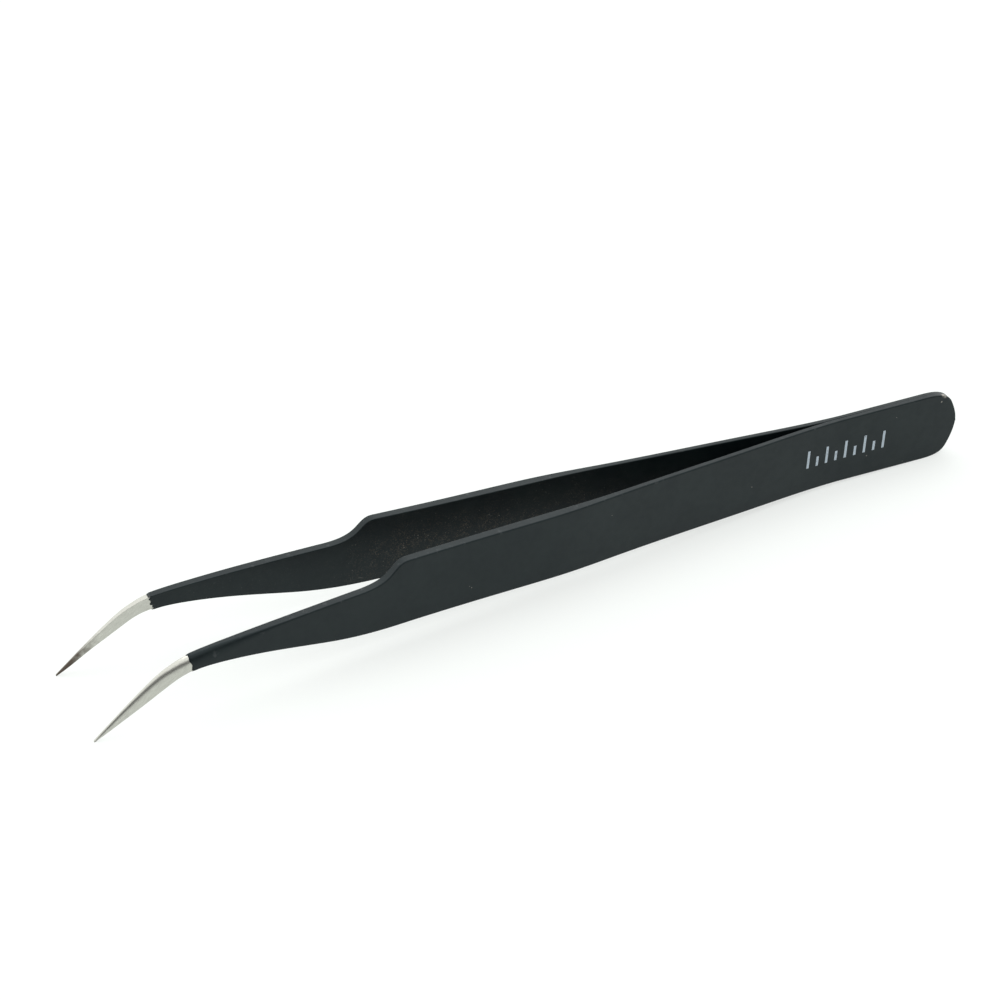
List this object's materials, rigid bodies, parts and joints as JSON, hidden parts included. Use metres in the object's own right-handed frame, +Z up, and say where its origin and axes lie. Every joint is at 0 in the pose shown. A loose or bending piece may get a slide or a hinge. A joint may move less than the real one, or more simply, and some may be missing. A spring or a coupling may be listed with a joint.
{
  "type": "precision tweezers",
  "caption": "Slim sprung tweezers: two steel arms welded at the heel, black coating, stepped shoulders and bare hooked needle points.",
  "frame": {"origin": "middle of the box round the tweezers as they lie on a table, at table height", "axes": "+X along the tweezers from the points to the heel, +Y across the gap from the near arm to the far arm, +Z up. They rest on both points and the lower edge of the heel, so the arms slope by 1.6 degrees."},
  "size_m": [0.1182, 0.0136, 0.0111],
  "materials": {
    "steel": "ground stainless steel, satin",
    "coating": "black static-dissipative coating, smooth and matte",
    "weld": "fused weld metal, never seen"
  },
  "bodies": {
    "heel": {"near_arm_heel": "steel", "far_arm_heel": "steel", "spot_welds": "weld", "heel_coating": "coating"},
    "near_arm": {"near_arm_blade": "steel", "near_blade_coating": "coating"},
    "far_arm": {"far_arm_blade": "steel", "far_blade_coating": "coating"}
  },
  "joints": [
    {"name": "near_arm_flex", "type": "hinge", "parent": "heel", "child": "near_arm", "pos_m": [0.02097, -0.00186, 0.00573], "axis": [-0.0284, 0, -0.9996], "range_deg": [0, 4.5], "stiffness_Nm_per_rad": 0.48},
    {"name": "far_arm_flex", "type": "hinge", "parent": "heel", "child": "far_arm", "pos_m": [0.02097, 0.00186, 0.00573], "axis": [0.0284, 0, 0.9996], "range_deg": [0, 4.5], "stiffness_Nm_per_rad": 0.48}
  ]
}
